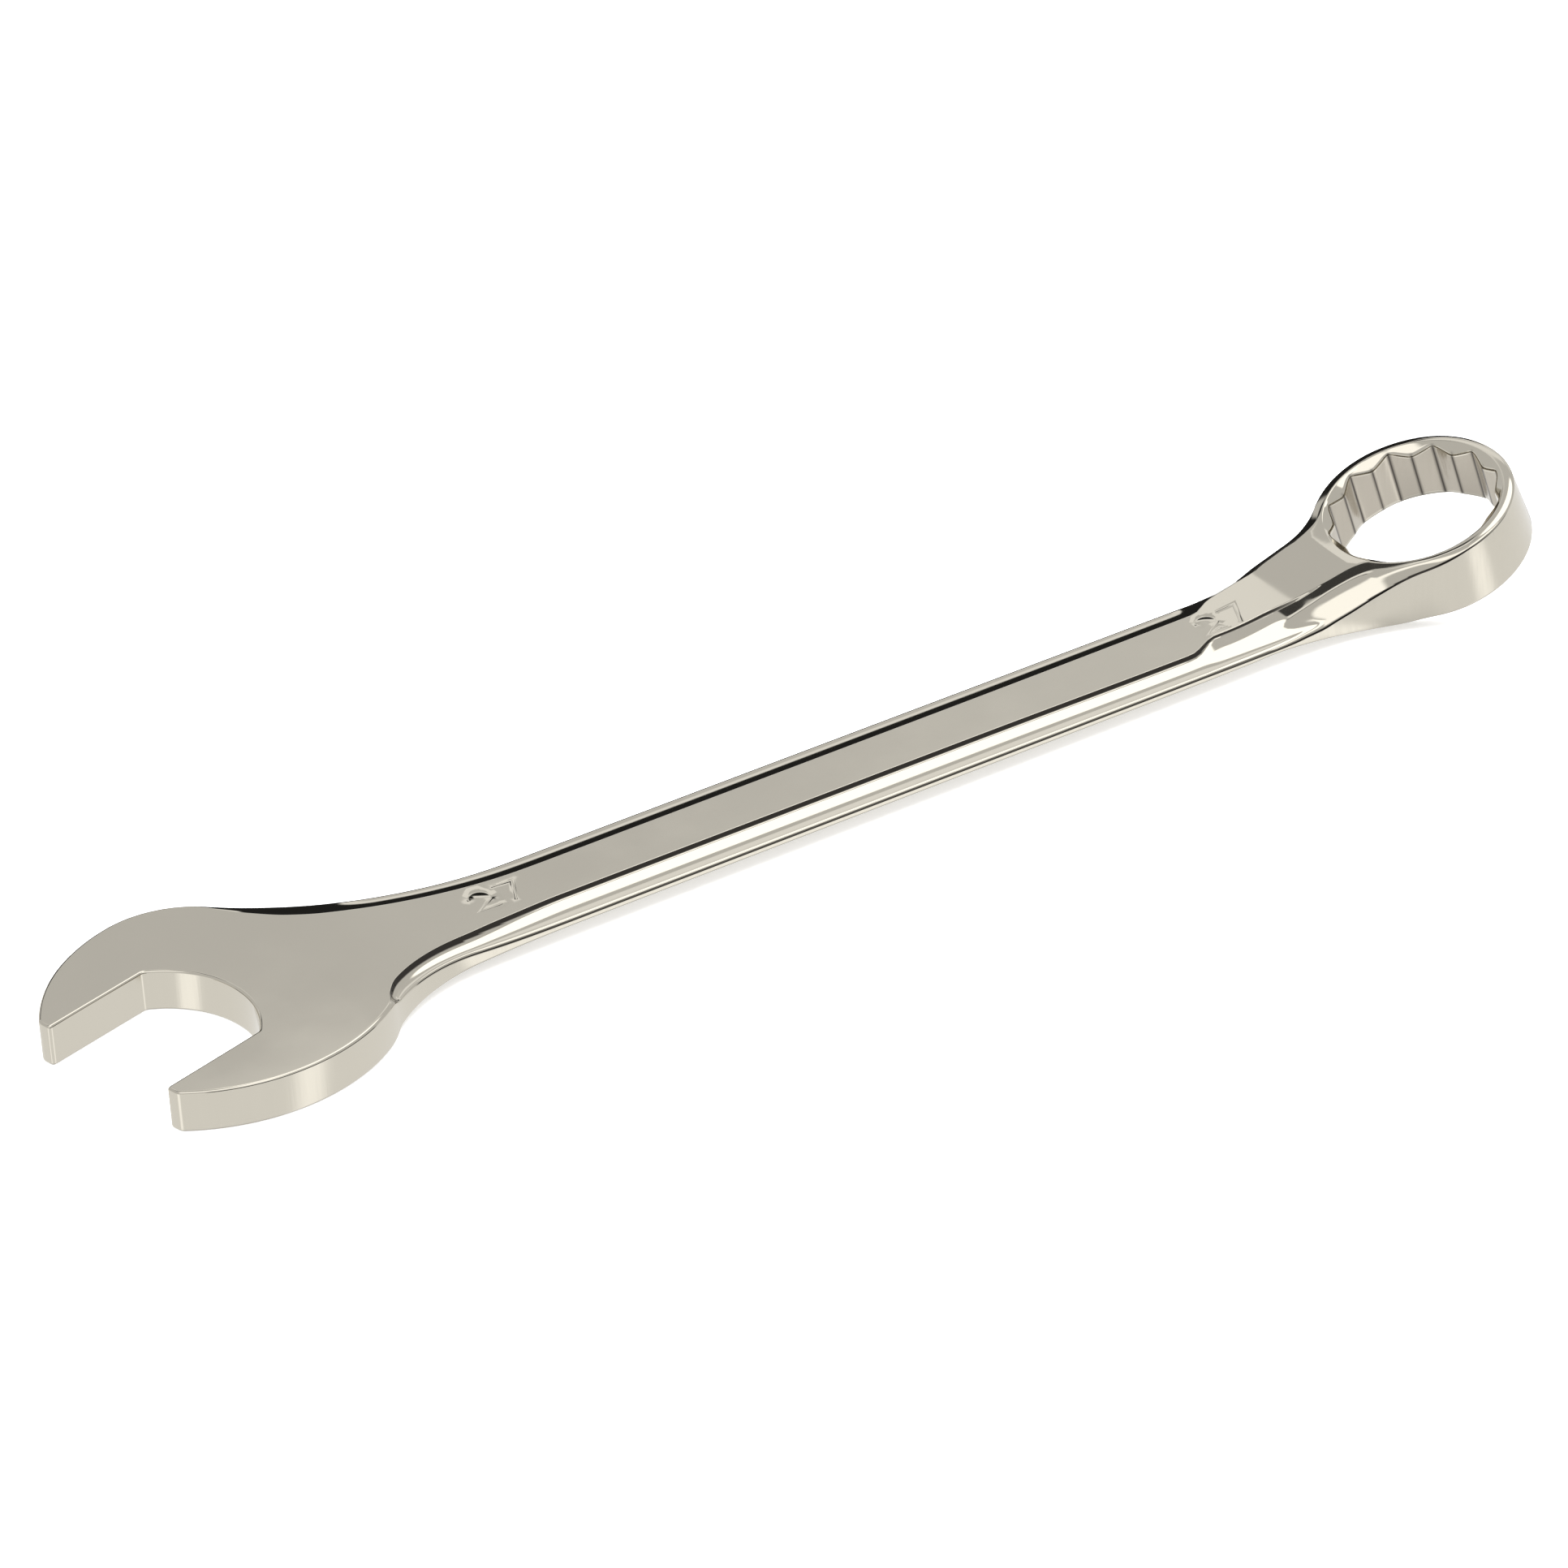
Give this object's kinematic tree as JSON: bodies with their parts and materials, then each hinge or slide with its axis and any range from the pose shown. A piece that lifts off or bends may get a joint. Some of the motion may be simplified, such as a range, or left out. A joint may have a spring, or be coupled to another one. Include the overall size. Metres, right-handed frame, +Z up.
{
  "type": "combination wrench",
  "caption": "One-piece combination wrench: angled open jaw, flat-panelled shank with hollow flanks, and a tilted twelve-point ring, in polished chrome.",
  "frame": {"origin": "middle of the tool's box in plan, on the surface it lies on, which the head's flat underside and the ring's heel both touch", "axes": "+X along the shank from the open jaw to the ring, +Y to the side of the higher jaw shoulder, +Z up, the way the ring tilts"},
  "size_m": [0.2842, 0.0554, 0.0206],
  "materials": {
    "polished_chrome": "mirror-polished chrome plate, slightly warm, machined jaw and bore walls with a fine grain"
  },
  "bodies": {
    "root": {"wrench_forging": "polished_chrome"}
  },
  "joints": []
}
